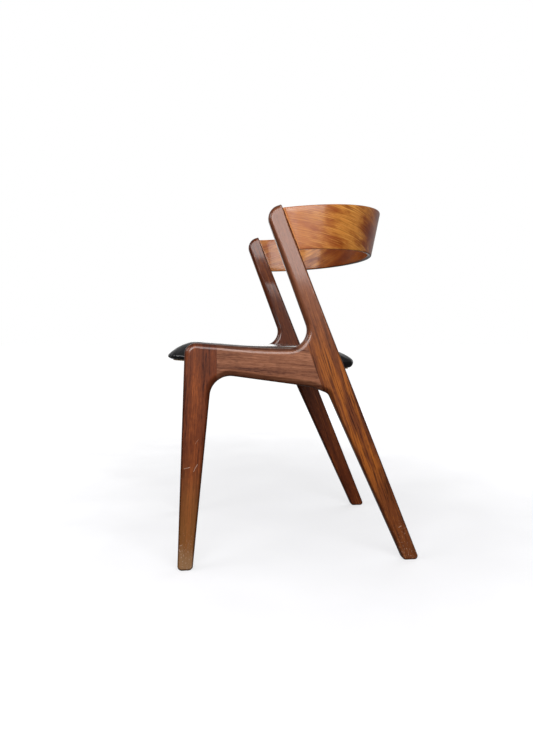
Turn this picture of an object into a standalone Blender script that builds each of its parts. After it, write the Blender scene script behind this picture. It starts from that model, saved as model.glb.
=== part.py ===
"""Dining chair: two sawn and rounded side frames, a bent laminated backrest band that runs round
behind the posts, and a padded leather seat held between the frames on two cross rails.

Metres, +Z up. The chair faces -Y, the sitter's left is +X, and the origin is at the floor, at the
middle of the chair's bounding box."""

import math

import bmesh
import bpy
import numpy as np
from mathutils import Matrix, Vector

# ---------------------------------------------------------------- driving dimensions
WIDTH = 0.500            # over both side frames
FRAME_T = 0.024          # thickness of the timber in the side frames
GAP = 0.0003             # clearance left at every glued or screwed joint
DEPTH_SHIFT = 0.0084     # moves the profile so that the bounding box is centred front to back

# Side frame profile. A line is (y at the floor, y per unit of z) or (y, z, slope).
LEG_FRONT = (-0.2560, 0.0400)        # front edge of the front leg
LEG_BACK = (-0.2246, 0.1038)         # back edge of the front leg
REAR_LEG_FRONT = (0.22831, -0.45794)
POST_BACK = (0.26371, -0.40025)      # one straight edge from the floor to the tip
POST_FRONT = (0.20228, -0.36988)
TIP_Z = 0.755                        # top of the posts
TIP_SLOPE = 0.20
RAIL_TOP = (-0.2133, 0.4706, -0.0785)
RAIL_LOW = (0.0, 0.4592, 0.0)        # lowest stretch of the rail's top edge
RAIL_BOTTOM = (-0.0034, 0.3822, -0.145)
REAR_GUSSET = (0.0443, 0.3703, -0.40)

# Where the three pieces of a side frame meet.
LEG_JOINT_Y = -0.1725
POST_JOINT = (0.0440, 0.3865, -0.363)  # y, z, y per unit of z

# Backrest band.
BAND_T = 0.0095
BAND_Z = (0.6635, 0.7486)            # bottom and top edge where the band meets the posts
BAND_RISE = (0.0079, 0.0229)         # how much each edge has risen at the back
BAND_HALF_AT_POST = 0.2488
BAND_HALF_MAX = (0.2507, 0.2580)
BAND_BACK_Y = (0.2063, 0.2270)
BAND_POWER = (2.03, 2.07)            # plan curve of each edge, 2 is an ellipse
BAND_EDGE_R = 0.0024

# Seat.
SEAT_HALF = 0.218
SEAT_FRONT_Y = -0.2730
SEAT_REAR_Y = 0.1310
SEAT_BOW = (0.0042, 0.0030)          # bulge of the front and rear edges in plan
SEAT_CORNER_R = (0.046, 0.042)
SEAT_UNDER = (-0.2500, 0.4345, -0.0551)  # underside: y, z, slope
SEAT_TOP_Z = 0.4609
SEAT_CROWN = 0.0016
SEAT_RISE = (0.0785, -0.085, 0.030)  # slope up to the front, where it starts, how softly
SEAT_REAR_DROP = 0.86                # how fast the top falls away behind its middle
SEAT_ROLL = (0.065, 0.046)           # width of the rolled edge, front and rear
SEAT_FULL = (0.85, 0.53)             # fullness of the roll: 0.5 is a quarter ellipse, 1 is leaner
SEAT_TIP_H = (0.0080, 0.0140)        # height of the widest line above the underside
LEATHER_T = 0.0012
LEATHER_LIP = 0.036                  # how far the leather is carried in underneath
BOARD_H = (0.0016, 0.0091)
DUST_H = (-0.0015, -0.0003)

# Cross rails under the seat.
CROSS_T = 0.022
FRONT_CROSS_Y = -0.2140
REAR_CROSS_Y = 0.0730
FRONT_CROSS_BOTTOM = 0.3880
REAR_CROSS_BOTTOM = 0.3800

# Hidden fixings.
DOWEL_R = 0.0040
BAND_DOWEL_R = 0.0025
SCREW_R = 0.0020
SCREW_HEAD_R = 0.0042
SCREW_X = 0.120

FACE_X = WIDTH / 2                   # outer face of a side frame
INNER_X = FACE_X - FRAME_T
MID_X = FACE_X - FRAME_T / 2


# ---------------------------------------------------------------- scene and materials
for old in list(bpy.data.objects):
    bpy.data.objects.remove(old, do_unlink=True)

chair = bpy.data.collections.new("dining_chair")
helpers = bpy.data.collections.new("cutters")
for group in (chair, helpers):
    bpy.context.scene.collection.children.link(group)


def material(name, colour, roughness, metallic=0.0):
    mat = bpy.data.materials.new(name)
    mat.use_nodes = True
    mat.diffuse_color = (*colour, 1.0)
    shader = mat.node_tree.nodes["Principled BSDF"]
    shader.inputs["Base Color"].default_value = (*colour, 1.0)
    shader.inputs["Roughness"].default_value = roughness
    shader.inputs["Metallic"].default_value = metallic
    return mat


FRAME_WOOD = material("frame_wood", (0.130, 0.045, 0.018), 0.42)
BAND_WOOD = material("band_veneer", (0.300, 0.120, 0.032), 0.36)
RAIL_WOOD = material("cross_rail_wood", (0.170, 0.075, 0.032), 0.55)
DOWEL_WOOD = material("dowel_wood", (0.480, 0.330, 0.190), 0.60)
LEATHER = material("black_leather", (0.012, 0.012, 0.013), 0.38)
FOAM = material("seat_foam", (0.620, 0.540, 0.330), 0.90)
PLYWOOD = material("plywood", (0.460, 0.300, 0.150), 0.65)
DUST_CLOTH = material("dust_cloth", (0.420, 0.300, 0.190), 0.90)
SCREW_STEEL = material("screw_steel", (0.560, 0.560, 0.570), 0.35, 1.0)


def add_object(name, points, faces, mat=None):
    """A closed mesh object in chair space. With no material it is a cutter."""
    mesh = bpy.data.meshes.new(name)
    mesh.from_pydata([tuple(p) for p in points], [], faces)
    work = bmesh.new()
    work.from_mesh(mesh)
    bmesh.ops.recalc_face_normals(work, faces=work.faces)
    work.to_mesh(mesh)
    work.free()
    obj = bpy.data.objects.new(name, mesh)
    if mat is None:
        helpers.objects.link(obj)
        obj.display_type = "WIRE"
        obj.hide_render = True
    else:
        chair.objects.link(obj)
        mesh.materials.append(mat)
    return obj


def loft(loops, cap_ends=True):
    """Points and faces of a tube through closed loops of equal length."""
    n = len(loops[0])
    points = [p for loop in loops for p in loop]
    faces = []
    for k in range(len(loops) - 1):
        for i in range(n):
            j = (i + 1) % n
            faces.append((k * n + i, k * n + j, (k + 1) * n + j, (k + 1) * n + i))
    if cap_ends:
        faces.append(tuple(range(n)))
        faces.append(tuple(range((len(loops) - 1) * n, len(loops) * n)))
    return points, faces


def cylinder(start, end, radius, sides=14):
    start, end = Vector(start), Vector(end)
    turn = (end - start).to_track_quat("Z", "Y").to_matrix()
    ring = [turn @ Vector((radius * math.cos(a), radius * math.sin(a), 0))
            for a in (2 * math.pi * (i + 0.5) / sides for i in range(sides))]
    return loft([[start + p for p in ring], [end + p for p in ring]])


def lathe(base, up, profile, sides=12):
    """A turned solid: profile is (radius, height) pairs from one pole to the other."""
    turn = Vector(up).to_track_quat("Z", "Y").to_matrix()
    loops = []
    for radius, height in profile:
        ring = [Vector((radius * math.cos(a), radius * math.sin(a), height))
                for a in (2 * math.pi * i / sides for i in range(sides))]
        loops.append([Vector(base) + turn @ p for p in ring])
    return loft(loops)


def cut(obj, cutters):
    for cutter in cutters:
        mod = obj.modifiers.new("cut_" + cutter.name, "BOOLEAN")
        mod.operation = "DIFFERENCE"
        mod.solver = "EXACT"
        mod.object = cutter
    return obj


# ---------------------------------------------------------------- side frame profile
def edge_line(line):
    return np.array((line[0], 0.0)), np.array((line[1], 1.0))


def slope_line(line):
    return np.array((line[0], line[1])), np.array((1.0, line[2]))


def crossing(a, b):
    (p, d), (q, e) = a, b
    t = np.linalg.solve(np.array([[d[0], -e[0]], [d[1], -e[1]]]), q - p)
    return p + t[0] * d


FLOOR = (np.array((0.0, 0.0)), np.array((1.0, 0.0)))
TIP = np.array((POST_BACK[0] + POST_BACK[1] * TIP_Z, TIP_Z))
TOP_EDGE = (TIP, np.array((1.0, TIP_SLOPE)))


def frame_corners():
    """The profile's corners: point, fillet radius, and the rounding of the arris beside it
    as (width across the face, depth through the thickness)."""
    leg_f, leg_b = edge_line(LEG_FRONT), edge_line(LEG_BACK)
    rear_f, post_b, post_f = (edge_line(e) for e in (REAR_LEG_FRONT, POST_BACK, POST_FRONT))
    top, low = slope_line(RAIL_TOP), slope_line(RAIL_LOW)
    bottom, gusset = slope_line(RAIL_BOTTOM), slope_line(REAR_GUSSET)
    return (
        (crossing(leg_f, FLOOR), 0.0095, 0.0045, 0.0045),
        (crossing(leg_f, top), 0.0240, 0.0115, 0.0085),
        (crossing(top, low), 0.9000, 0.0130, 0.0090),
        (crossing(low, post_f), 0.0380, 0.0130, 0.0090),
        (crossing(post_f, TOP_EDGE), 0.0280, 0.0090, 0.0080),
        (TIP, 0.0034, 0.0030, 0.0030),
        (crossing(post_b, FLOOR), 0.0072, 0.0045, 0.0045),
        (crossing(rear_f, FLOOR), 0.0090, 0.0045, 0.0045),
        (crossing(rear_f, gusset), 0.0160, 0.0130, 0.0085),
        (crossing(gusset, bottom), 0.0800, 0.0150, 0.0090),
        (crossing(bottom, leg_b), 0.0427, 0.0150, 0.0090),
        (crossing(leg_b, FLOOR), 0.0095, 0.0045, 0.0045),
    )


# Rounding that holds along the straights, so that the legs' arrises don't just run from one
# corner's value to the next: corner index -> (width, depth) a short way past it.
STRAIGHT_ROUND = {0: (0.0060, 0.0055), 4: (0.0042, 0.0042), 5: (0.0052, 0.0048),
                  7: (0.0065, 0.0060), 10: (0.0070, 0.0065)}


def smooth(t):
    t = min(1.0, max(0.0, t))
    return t * t * (3 - 2 * t)


def profile_points(corners, arc_step=0.22, straight_step=0.032):
    """Points round the profile, each with its outward normal and rounding."""
    n = len(corners)
    arcs = []
    for i, (corner, radius, _, _) in enumerate(corners):
        before, after = corners[i - 1][0], corners[(i + 1) % n][0]
        u = (before - corner) / np.linalg.norm(before - corner)
        v = (after - corner) / np.linalg.norm(after - corner)
        angle = math.acos(float(np.clip(u @ v, -1, 1)))
        centre = corner + (u + v) / np.linalg.norm(u + v) * radius / math.sin(angle / 2)
        start, end = corner + u * radius / math.tan(angle / 2), corner + v * radius / math.tan(angle / 2)
        a0 = math.atan2(*(start - centre)[::-1])
        a1 = math.atan2(*(end - centre)[::-1])
        arcs.append((centre, radius, a0, (a1 - a0 + math.pi) % (2 * math.pi) - math.pi))
    out = []
    for i, (centre, radius, a0, sweep) in enumerate(arcs):
        width, depth = corners[i][2], corners[i][3]
        convex = 1.0 if sweep < 0 else -1.0
        steps = max(2, math.ceil(abs(sweep) / arc_step))
        for k in range(steps + 1):
            ray = np.array((math.cos(a0 + sweep * k / steps), math.sin(a0 + sweep * k / steps)))
            out.append((centre + radius * ray, convex * ray, width, depth))
        start, normal = out[-1][0], out[-1][1]
        nxt = arcs[(i + 1) % n]
        end = nxt[0] + nxt[1] * np.array((math.cos(nxt[2]), math.sin(nxt[2])))
        length = float(np.linalg.norm(end - start))
        steps = max(1, round(length / straight_step))
        target = corners[(i + 1) % n][2:]
        mid = STRAIGHT_ROUND.get(i, None)
        for k in range(1, steps):
            t = k / steps
            if mid is None:
                w = width + (target[0] - width) * smooth(t)
                d = depth + (target[1] - depth) * smooth(t)
            else:
                ramp = 0.050 / length
                a, b = smooth(t / ramp), smooth((1 - t) / ramp)
                w = mid[0] + (width - mid[0]) * (1 - a) + (target[0] - mid[0]) * (1 - b)
                d = mid[1] + (depth - mid[1]) * (1 - a) + (target[1] - mid[1]) * (1 - b)
            out.append((start + (end - start) * t, normal, w, d))
    return out


def frame_blank(name, side, arc_steps=4):
    """The whole side frame as one rounded slab, from which its three pieces are cut."""
    ring = profile_points(frame_corners())
    levels = [(math.pi / 2 * k / arc_steps, 1) for k in range(arc_steps, -1, -1)]
    levels += [(math.pi / 2 * k / arc_steps, -1) for k in range(arc_steps + 1)]
    loops = []
    for phi, face in levels:
        loop = []
        for point, normal, width, depth in ring:
            inset = width * (1 - math.cos(phi))
            offset = FRAME_T / 2 - depth * (1 - math.sin(phi))
            y, z = point - normal * inset
            loop.append((side * (MID_X + face * offset), y + DEPTH_SHIFT, z))
        loops.append(loop)
    return add_object(name, *loft(loops))


def prism(name, yz, x0=0.30, x1=-0.30):
    """A cutter with the given profile, longer than the chair is wide."""
    return add_object(name, *loft([[(x, y + DEPTH_SHIFT, z) for y, z in yz] for x in (x0, x1)]))


def joint_prisms():
    """Cutters whose faces are the two glued joints, each set back by half the joint gap."""
    h = GAP / 2
    leg_keep = prism("behind_leg_joint", ((LEG_JOINT_Y - h, 0.345), (LEG_JOINT_Y - h, 0.90),
                                          (0.50, 0.90), (0.50, -0.10), (-0.12, -0.10), (-0.12, 0.345)))
    leg_drop = prism("ahead_of_leg_joint", ((-0.50, -0.10), (-0.12, -0.10), (-0.12, 0.30),
                                            (LEG_JOINT_Y + h, 0.345), (LEG_JOINT_Y + h, 0.60), (-0.50, 0.60)))
    y0, z0, lean = POST_JOINT

    def on_joint(z, push):
        return y0 + lean * (z - z0) + push / math.cos(math.atan(lean)), z

    # The rail keeps the underside as far as the joint and the fillet above it.
    ahead = prism("ahead_of_post_joint", (on_joint(0.345, h), on_joint(0.510, h), (-0.05, 0.60), (-0.50, 0.60),
                                          (-0.50, -0.10), (0.03, -0.10)))
    behind = prism("behind_post_joint", (on_joint(0.345, -h), on_joint(0.510, -h), (-0.10, 0.60), (-0.10, 0.90),
                                         (0.60, 0.90), (0.60, -0.10), (0.03, -0.10)))
    return leg_keep, leg_drop, ahead, behind


# ---------------------------------------------------------------- dowels
def dowel(name, centre, direction, back, forward, radius=DOWEL_R, mat=DOWEL_WOOD):
    """A hidden dowel and the cutter that bores for it. centre lies on the joint."""
    centre, direction = Vector(centre), Vector(direction).normalized()
    add_object(name, *cylinder(centre - direction * back, centre + direction * forward, radius), mat)
    bore = 2 * GAP
    return add_object("bore_" + name, *cylinder(centre - direction * (back + bore),
                                                centre + direction * (forward + bore),
                                                radius + GAP * 0.7))


def seat_under(y):
    """Height of the seat's underside, y in profile space."""
    return SEAT_UNDER[1] + SEAT_UNDER[2] * (y - SEAT_UNDER[0])


def side_frame(side, word):
    """Front leg, side rail and post of one side, with their dowels. Returns the bores that
    reach into the cross rails and the band."""
    leg_keep, leg_drop, ahead, behind = CUTS
    blank = frame_blank("frame_blank_" + word, side)
    x = side * MID_X
    leg_bores, post_bores = [], []
    for level, z in (("lower", 0.4165), ("upper", 0.4430)):
        leg_bores.append(dowel(f"leg_dowel_{level}_{word}", (x, LEG_JOINT_Y + DEPTH_SHIFT, z), (0, 1, 0), 0.026, 0.030))
    y0, z0, lean = POST_JOINT
    for level, z in (("lower", 0.4080), ("upper", 0.4430)):
        post_bores.append(dowel(f"rail_dowel_{level}_{word}", (x, y0 + lean * (z - z0) + DEPTH_SHIFT, z),
                                (0, 1, -lean), 0.028, 0.026))
    cross = {}
    for end, y, bottom in (("front", FRONT_CROSS_Y, FRONT_CROSS_BOTTOM), ("rear", REAR_CROSS_Y, REAR_CROSS_BOTTOM)):
        top = seat_under(y) + DUST_H[0]
        cross[end] = [dowel(f"{end}_cross_dowel_{level}_{word}", (side * INNER_X, y + DEPTH_SHIFT, z), (side, 0, 0),
                            0.022, 0.013)
                      for level, z in (("lower", bottom + 0.0105), ("upper", top - 0.0105))]
    band_bores = []
    tangent_z = {"lower": 0.25, "upper": 0.75}
    for level, v in tangent_z.items():
        start, ahead_dir = band_end(v, side)
        band_bores.append(dowel(f"band_dowel_{level}_{word}", start, ahead_dir, 0.013, 0.016, BAND_DOWEL_R))
    for name, cutters in (
        ("front_leg", [leg_keep] + leg_bores + cross["front"]),
        ("side_rail", [leg_drop, behind] + leg_bores + post_bores),
        ("back_post", [ahead] + post_bores + cross["rear"] + band_bores),
    ):
        piece = bpy.data.objects.new(f"{name}_{word}", blank.data.copy())
        piece.data.materials.append(FRAME_WOOD)
        chair.objects.link(piece)
        cut(piece, cutters)
    return cross, band_bores


# ---------------------------------------------------------------- backrest band
def band_edge(v, values):
    return values[0] + (values[1] - values[0]) * v


def band_point(s, v):
    """Outer face of the band. s runs 0 to 1 from the left post round to the right one, and v
    0 to 1 from the bottom edge to the top edge. Profile space in y."""
    reach, power = band_edge(v, BAND_HALF_MAX), band_edge(v, BAND_POWER)
    base_z = band_edge(v, BAND_Z)
    y0 = POST_BACK[0] + POST_BACK[1] * base_z + GAP
    back = band_edge(v, BAND_BACK_Y)
    k = (1 - (BAND_HALF_AT_POST / reach) ** power) ** (1 / power)
    half = (back - y0) / (1 + k)
    centre = back - half
    t0 = -math.asin(min(1.0, k ** (power / 2)))
    t = t0 + (math.pi - 2 * t0) * s
    c, d = math.cos(t), math.sin(t)
    x = reach * math.copysign(abs(c) ** (2 / power), c)
    y = centre + half * math.copysign(abs(d) ** (2 / power), d)
    z = base_z + band_edge(v, BAND_RISE) * (y - y0) / (back - y0)
    return np.array((x, y, z))


def band_frame(s, v):
    e = 1e-3
    point = band_point(s, v)
    along = band_point(min(s + e, 1), v) - band_point(max(s - e, 0), v)
    up = band_point(s, min(v + e, 1)) - band_point(s, max(v - e, 0))
    normal = np.cross(along, up)
    return point, along / np.linalg.norm(along), normal / np.linalg.norm(normal)


def off_end_plane(p):
    """How far a point stands behind the plane of the posts' back edges, along y."""
    return p[1] - (POST_BACK[0] + POST_BACK[1] * p[2] + GAP)


def band_layer_point(s, v, depth):
    """A point inside the band. The layers are shifted along the band near its ends, so that
    every layer ends in the plane of the posts' back edges."""
    point, along, normal = band_frame(s, v)
    outward = normal if normal @ np.array((point[0], point[1] - 0.05, 0)) > 0 else -normal
    inner = point - outward * depth
    end_s = 0.0 if s < 0.5 else 1.0
    p_end, a_end, n_end = band_frame(end_s, v)
    out_end = n_end if n_end @ np.array((p_end[0], p_end[1] - 0.05, 0)) > 0 else -n_end
    rate = a_end[1] - POST_BACK[1] * a_end[2]
    slide = -off_end_plane(p_end - out_end * depth) / rate
    fade = max(0.0, 1 - min(s, 1 - s) / 0.06) ** 2
    return inner + along * slide * fade


def band_section(inset=0.0):
    """Rounded rectangle as (depth into the band, share of its height)."""
    height = 0.098
    r = BAND_EDGE_R
    loop = []
    for cx, cy, a0 in ((BAND_T - r, r, -90), (BAND_T - r, height - r, 0), (r, height - r, 90), (r, r, 180)):
        for k in range(4):
            a = math.radians(a0 + 30 * k)
            loop.append((cx + (r - inset) * math.cos(a), (cy + (r - inset) * math.sin(a)) / height))
    # Two more points on each broad face keep its twist fair.
    full = []
    for i, p in enumerate(loop):
        q = loop[(i + 1) % len(loop)]
        full.append(p)
        if abs(q[1] - p[1]) > 0.3:
            full += [(p[0], p[1] + (q[1] - p[1]) * f) for f in (0.25, 0.5, 0.75)]
    return full


def band_end(v, side):
    """Where a band dowel crosses the joint at the post, and the band's direction there."""
    end_s = 0.0 if side > 0 else 1.0
    p = band_layer_point(end_s, v, BAND_T / 2)
    _, along, _ = band_frame(end_s, v)
    return (p[0], p[1] + DEPTH_SHIFT, p[2]), along * (1 if side > 0 else -1)


def backrest_band(stations=46):
    chamfer = 0.0011
    share = [0.0, 0.0016] + [0.0016 + (1 - 0.0032) * k / stations for k in range(1, stations)] + [1 - 0.0016, 1.0]
    loops = []
    for i, s in enumerate(share):
        inset = chamfer if i in (0, len(share) - 1) else 0.0
        loops.append([band_layer_point(s, v, depth) + np.array((0, DEPTH_SHIFT, 0))
                      for depth, v in band_section(inset)])
    return add_object("back_band", *loft(loops), BAND_WOOD)


# ---------------------------------------------------------------- seat
def seat_plan(inset, per_corner=8, per_edge=4):
    """The seat's outline in plan, drawn in from its edge by inset."""
    hw = SEAT_HALF - inset
    y0, y1 = SEAT_FRONT_Y + inset, SEAT_REAR_Y - inset
    rf, rr = (max(r - 0.8 * inset, 0.006) for r in SEAT_CORNER_R)
    rf, rr = (min(r, 0.9 * hw, 0.45 * (y1 - y0)) for r in (rf, rr))
    corners = ((hw - rf, y0 + rf, -90, rf), (hw - rr, y1 - rr, 0, rr),
               (-hw + rr, y1 - rr, 90, rr), (-hw + rf, y0 + rf, 180, rf))
    loop = []
    for i, (cx, cy, a0, r) in enumerate(corners):
        for k in range(per_corner):
            a = math.radians(a0 + 90 * k / (per_corner - 1))
            loop.append((cx + r * math.cos(a), cy + r * math.sin(a)))
        nx, ny, b0, nr = corners[(i + 1) % 4]
        start = loop[-1]
        end = (nx + nr * math.cos(math.radians(b0)), ny + nr * math.sin(math.radians(b0)))
        for k in range(1, per_edge + 1):
            t = k / (per_edge + 1)
            loop.append((start[0] + (end[0] - start[0]) * t, start[1] + (end[1] - start[1]) * t))
    fade = max(0.0, 1 - inset / 0.15)
    out = []
    for x, y in loop:
        bulge = max(0.0, 1 - (x / SEAT_HALF) ** 2) * fade
        mid = (y0 + y1) / 2
        edge = abs(y - mid) / (y1 - mid)
        y += (SEAT_BOW[1] if y > mid else -SEAT_BOW[0]) * bulge * smooth((edge - 0.5) / 0.5)
        out.append((x, y))
    return out


def front_share(y):
    return smooth((SEAT_REAR_Y - y) / (SEAT_REAR_Y - SEAT_FRONT_Y))


def seat_tip_z(y):
    f = front_share(y)
    return seat_under(y) + SEAT_TIP_H[0] * f + SEAT_TIP_H[1] * (1 - f)


def seat_top_z(y, inset):
    """Height of the seat's top for a point this far in from its edge."""
    f = front_share(y)
    slope, start, ease = SEAT_RISE
    crown = SEAT_TOP_Z + SEAT_CROWN * smooth(inset / 0.20) - SEAT_REAR_DROP * max(0.0, y + 0.010) ** 2
    crown += slope * (start - y + math.hypot(start - y, ease)) / 2
    roll = SEAT_ROLL[0] * f + SEAT_ROLL[1] * (1 - f)
    full = SEAT_FULL[0] * f + SEAT_FULL[1] * (1 - f)
    tip = seat_tip_z(y)
    return tip + (crown - tip) * (1 - (1 - min(1.0, inset / roll)) ** 2) ** full


UNDER_ROLL = 0.014


def cover_rings():
    """(inset, kind or share) for each ring of the cover, from the lip underneath to the crown."""
    rings = [(LEATHER_LIP, "under", 0.0), (0.024, "under", 0.0)]
    for k in range(5):
        a = math.pi / 2 * k / 4
        rings.append((UNDER_ROLL * (1 - math.sin(a)), "roll", 1 - math.cos(a)))
    rings += [(inset, "top", 0.0) for inset in (0.003, 0.008, 0.015, 0.024, 0.034, 0.046,
                                                 0.070, 0.105, 0.145, 0.185)]
    return rings


def cover_surface(rings):
    loops = []
    for inset, kind, share in rings:
        loop = []
        for x, y in seat_plan(inset):
            if kind == "under":
                z = seat_under(y)
            elif kind == "roll":
                z = seat_under(y) + (seat_tip_z(y) - seat_under(y)) * share
            else:
                z = seat_top_z(y, inset)
            loop.append(np.array((x, y + DEPTH_SHIFT, z)))
        loops.append(loop)
    return loops


def loop_normals(loops):
    """Outward normals of an open lofted surface, ring by ring."""
    out = []
    n = len(loops[0])
    for k, loop in enumerate(loops):
        row = []
        for i in range(n):
            along = loop[(i + 1) % n] - loop[i - 1]
            up = loops[min(k + 1, len(loops) - 1)][i] - loops[max(k - 1, 0)][i]
            normal = np.cross(along, up)
            row.append(normal / np.linalg.norm(normal))
        out.append(row)
    return out


def inward(loops, depth):
    return [[p - n * depth for p, n in zip(loop, row)] for loop, row in zip(loops, loop_normals(loops))]


def seat_cover():
    outer = cover_surface(cover_rings())
    inner = inward(outer, LEATHER_T)
    # From the crown's middle, out over the top and under the edge, round the lip and back inside.
    loops = outer[::-1] + inner
    return add_object("seat_cover", *loft(loops), LEATHER)


def seat_foam():
    outer = cover_surface(cover_rings())
    skin = inward(outer, LEATHER_T + GAP)
    first = next(i for i, r in enumerate(cover_rings()) if r[1] == "top")
    base = [np.array((x, y + DEPTH_SHIFT, seat_under(y) + BOARD_H[1] + GAP)) for x, y in seat_plan(0.0042)]
    return add_object("seat_foam", *loft([base] + skin[first - 1:]), FOAM)


def slab(name, inset, levels, mat):
    loops = [[(x, y + DEPTH_SHIFT, seat_under(y) + h) for x, y in seat_plan(inset)] for h in levels]
    return add_object(name, *loft(loops), mat)


# ---------------------------------------------------------------- cross rails and screws
def cross_rail(name, y, bottom, bores):
    top = seat_under(y + CROSS_T / 2) + DUST_H[0] - GAP
    y += DEPTH_SHIFT
    x = INNER_X - GAP
    r = 0.0030
    section = []
    for cy, cz, a0 in ((y + CROSS_T / 2 - r, bottom + r, -90), (y - CROSS_T / 2 + r, bottom + r, 180)):
        section.append([(cy + r * math.cos(math.radians(a0 + 30 * k)),
                         cz + r * math.sin(math.radians(a0 + 30 * k))) for k in range(4)])
    section = section[0] + [(y + CROSS_T / 2, top), (y - CROSS_T / 2, top)] + section[1]
    rail = add_object(name, *loft([[(sx, py, pz) for py, pz in section] for sx in (-x, x)]), RAIL_WOOD)
    return cut(rail, bores)


def seat_screw(name, x, y, bottom):
    """A pan-head screw driven up from a counterbore in a cross rail into the seat board."""
    seat = bottom + 0.014
    tip = seat_under(y) + BOARD_H[1] - 0.0016
    length = tip - seat
    profile = ((0.0009, -0.0026), (0.0026, -0.0024), (0.0038, -0.0016), (SCREW_HEAD_R, -0.0004),
               (SCREW_HEAD_R, 0.0), (SCREW_R, 0.0), (SCREW_R, length - 0.003), (0.0006, length))
    base = (x, y + DEPTH_SHIFT, seat)
    add_object(name, *lathe(base, (0, 0, 1), profile), SCREW_STEEL)
    clear = SCREW_R + GAP
    bore = ((SCREW_HEAD_R + 0.0006, -0.030), (SCREW_HEAD_R + 0.0006, GAP), (clear, GAP), (clear, length + GAP))
    return add_object("bore_" + name, *lathe(base, (0, 0, 1), bore))


# ---------------------------------------------------------------- assembly
CUTS = joint_prisms()
left_cross, left_band = side_frame(1, "left")
right_cross, right_band = side_frame(-1, "right")

screws = {}
for end, y, bottom in (("front", FRONT_CROSS_Y, FRONT_CROSS_BOTTOM), ("rear", REAR_CROSS_Y, REAR_CROSS_BOTTOM)):
    screws[end] = [seat_screw(f"seat_screw_{end}_{word}", s * SCREW_X, y, bottom)
                   for s, word in ((1, "left"), (-1, "right"))]
    cross_rail(f"{end}_cross_rail", y, bottom, left_cross[end] + right_cross[end] + screws[end])

cut(backrest_band(), left_band + right_band)
seat_cover()
seat_foam()
all_screws = screws["front"] + screws["rear"]
cut(slab("seat_board", UNDER_ROLL + 0.0015, BOARD_H, PLYWOOD), all_screws)
cut(slab("seat_dust_cover", 0.0125, DUST_H, DUST_CLOTH), all_screws)

for obj in chair.objects:
    for poly in obj.data.polygons:
        poly.use_smooth = False
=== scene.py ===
"""Looks for the dining chair: fine rounded timber, a veneered band, a soft leather seat, studio."""

import math

import bmesh
import bpy
import numpy as np
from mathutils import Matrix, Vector, noise

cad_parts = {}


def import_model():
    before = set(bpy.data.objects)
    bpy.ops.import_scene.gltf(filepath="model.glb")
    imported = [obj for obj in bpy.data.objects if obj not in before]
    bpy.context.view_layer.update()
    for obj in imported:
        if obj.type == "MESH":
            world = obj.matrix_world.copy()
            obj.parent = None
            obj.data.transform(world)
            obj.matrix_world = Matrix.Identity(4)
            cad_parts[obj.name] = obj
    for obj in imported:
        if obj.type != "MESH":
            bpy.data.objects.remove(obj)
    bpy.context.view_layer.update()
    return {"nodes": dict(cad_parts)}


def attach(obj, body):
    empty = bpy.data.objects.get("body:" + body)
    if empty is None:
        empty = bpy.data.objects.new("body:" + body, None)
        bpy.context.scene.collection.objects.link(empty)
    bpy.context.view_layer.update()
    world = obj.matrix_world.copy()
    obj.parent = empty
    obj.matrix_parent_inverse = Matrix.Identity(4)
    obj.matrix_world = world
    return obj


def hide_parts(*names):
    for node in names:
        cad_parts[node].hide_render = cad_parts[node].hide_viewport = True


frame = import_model()
NODES = frame["nodes"]

# ---------------------------------------------------------------- driving dimensions
WIDTH = 0.500
FRAME_T = 0.024
GAP = 0.00022            # hairline at the glued joints
DEPTH_SHIFT = 0.0084     # centres the chair's depth on the origin

# Upright edges of a side frame: y at the floor, y gained per z.
LEG_FRONT = (-0.2560, 0.0400)
LEG_BACK = (-0.2246, 0.1038)
REAR_LEG_FRONT = (0.22831, -0.45794)
POST_BACK = (0.26371, -0.40025)
POST_FRONT = (0.20228, -0.36988)
TIP_Z = 0.755
TIP_SLOPE = 0.20
# Lying edges of a side frame: a point's y and z, z gained per y.
RAIL_TOP = (-0.2133, 0.4706, -0.0785)
RAIL_LOW = (0.0, 0.4592, 0.0)
RAIL_BOTTOM = (-0.0034, 0.3822, -0.145)
REAR_GUSSET = (0.0443, 0.3703, -0.40)
LEG_JOINT_Y = -0.1725
POST_JOINT = (0.0440, 0.3865, -0.363)   # a point's y and z, y gained per z

# Backrest band: pairs are at its lower and at its upper edge.
BAND_T = 0.0095
BAND_HIGH = 0.098        # along its surface, for the rounding of its edges
BAND_Z = (0.6635, 0.7486)
BAND_RISE = (0.0079, 0.0229)
BAND_HALF_AT_POST = 0.2488
BAND_HALF_MAX = (0.2507, 0.2580)
BAND_BACK_Y = (0.2063, 0.2270)
BAND_POWER = (2.03, 2.07)
BAND_EDGE_R = 0.0024
BAND_END_BLEND = 0.06    # share of its length over which an end leans to follow the post
BAND_INSIDE_Y = 0.05     # a place inside the band, from which its outside faces away

# Seat: pairs are at its front and at its rear.
SEAT_HALF = 0.218
SEAT_FRONT_Y = -0.2730
SEAT_REAR_Y = 0.1310
SEAT_BOW = (0.0042, 0.0030)
SEAT_BOW_FADE = 0.15     # how far in the bow of the edges is gone
SEAT_CORNER_R = (0.046, 0.042)
CORNER_SHRINK, CORNER_LEAST = 0.8, 0.006   # a corner's radius as the outline is drawn in
SEAT_UNDER = (-0.2500, 0.4345, -0.0551)   # a point's y and z, z gained per y
SEAT_TOP_Z = 0.4609
SEAT_CROWN = 0.0016
SEAT_CROWN_REACH = 0.20
SEAT_RISE = (0.0785, -0.085, 0.030)       # towards the front: slope, y where it starts, how softly
SEAT_REAR_DROP = 0.86
SEAT_REAR_DROP_FROM = 0.010
SEAT_ROLL = (0.065, 0.046)                # how far in the rounded edge reaches
SEAT_FULL = (0.85, 0.53)                  # how full it is
SEAT_TIP_H = (0.0080, 0.0140)             # height of the tip of the edge over the underside
UNDER_ROLL = 0.014
LEATHER_T = 0.0012
LEATHER_LIP = 0.036
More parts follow.
